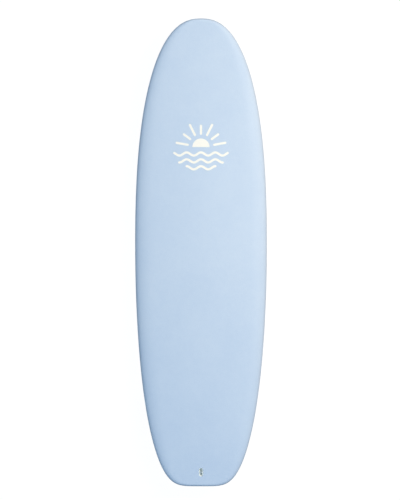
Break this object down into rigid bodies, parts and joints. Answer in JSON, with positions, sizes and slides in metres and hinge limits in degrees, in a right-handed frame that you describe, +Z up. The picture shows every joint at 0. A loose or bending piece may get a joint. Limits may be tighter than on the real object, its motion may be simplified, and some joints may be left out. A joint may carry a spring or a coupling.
{
  "type": "soft-top surfboard",
  "caption": "Soft-deck longboard surfboard with a round nose and squared tail, a foam core on stringers, a recessed leash plug and removable fins held by grub screws.",
  "frame": {"origin": "on the flat of the bottom skin, on the centreline, half-way along the board", "axes": "+Z up through the deck, -Y towards the nose, +X to the rider's left"},
  "size_m": [0.6028, 2.134, 0.2388],
  "materials": {
    "deck_foam": "closed-cell foam sheet with a fine grain, pale blue",
    "slick_skin": "smooth polyethylene, off-white",
    "underlay_foam": "closed-cell foam",
    "glass_laminate": "glass fibre in resin",
    "core_foam": "expanded foam beads",
    "dense_foam": "dense foam",
    "stringer_ply": "raw plywood",
    "box_nylon": "moulded nylon, light grey",
    "fin_nylon": "glass-filled nylon, charcoal",
    "cup_nylon": "moulded nylon, white",
    "stainless_steel": "bright stainless steel",
    "deck_print": "printed ink, warm white"
  },
  "bodies": {
    "board": {"deck_skin": "deck_foam", "bottom_skin": "slick_skin", "bottom_foam": "underlay_foam", "deck_laminate": "glass_laminate", "bottom_laminate": "glass_laminate", "core_centre": "core_foam", "core_left": "core_foam", "core_right": "core_foam", "stringer_left": "stringer_ply", "stringer_right": "stringer_ply", "leash_block": "dense_foam", "leash_cup": "cup_nylon", "leash_bar": "stainless_steel", "fin_block_centre": "dense_foam", "fin_box_centre": "box_nylon", "fin_block_left": "dense_foam", "fin_box_left": "box_nylon", "fin_block_right": "dense_foam", "fin_box_right": "box_nylon"},
    "centre_fin": {"fin_centre": "fin_nylon"},
    "left_fin": {"fin_left": "fin_nylon"},
    "right_fin": {"fin_right": "fin_nylon"},
    "centre_front_screw": {"fin_screw_centre_front": "stainless_steel"},
    "centre_rear_screw": {"fin_screw_centre_rear": "stainless_steel"},
    "left_front_screw": {"fin_screw_left_front": "stainless_steel"},
    "left_rear_screw": {"fin_screw_left_rear": "stainless_steel"},
    "right_front_screw": {"fin_screw_right_front": "stainless_steel"},
    "right_rear_screw": {"fin_screw_right_rear": "stainless_steel"}
  },
  "joints": [
    {"name": "centre_fin_slide", "type": "slide", "parent": "board", "child": "centre_fin", "axis": [0, 0.1024, -0.9947], "range_m": [0, 0.02], "stiffness_N_per_m": 200},
    {"name": "left_fin_slide", "type": "slide", "parent": "board", "child": "left_fin", "axis": [0.1083, 0.0686, -0.9918], "range_m": [0, 0.02], "stiffness_N_per_m": 200},
    {"name": "right_fin_slide", "type": "slide", "parent": "board", "child": "right_fin", "axis": [-0.1083, 0.0686, -0.9918], "range_m": [0, 0.02], "stiffness_N_per_m": 200},
    {"name": "centre_front_screw_turn", "type": "hinge", "parent": "board", "child": "centre_front_screw", "pos_m": [0.00449, 0.87018, 0.04303], "axis": [0.4226, 0.0928, -0.9015], "range_deg": [0, 720]},
    {"name": "centre_rear_screw_turn", "type": "hinge", "parent": "board", "child": "centre_rear_screw", "pos_m": [0.00449, 0.92588, 0.04876], "axis": [0.4226, 0.0928, -0.9015], "range_deg": [0, 720]},
    {"name": "left_front_screw_turn", "type": "hinge", "parent": "board", "child": "left_front_screw", "pos_m": [0.18505, 0.68873, 0.02721], "axis": [-0.3214, 0.0875, -0.9429], "range_deg": [0, 720]},
    {"name": "left_rear_screw_turn", "type": "hinge", "parent": "board", "child": "left_rear_screw", "pos_m": [0.18797, 0.7445, 0.03139], "axis": [-0.3214, 0.0875, -0.9429], "range_deg": [0, 720]},
    {"name": "right_front_screw_turn", "type": "hinge", "parent": "board", "child": "right_front_screw", "pos_m": [-0.18505, 0.68873, 0.02721], "axis": [0.3214, 0.0875, -0.9429], "range_deg": [0, 720]},
    {"name": "right_rear_screw_turn", "type": "hinge", "parent": "board", "child": "right_rear_screw", "pos_m": [-0.18797, 0.7445, 0.03139], "axis": [0.3214, 0.0875, -0.9429], "range_deg": [0, 720]}
  ]
}
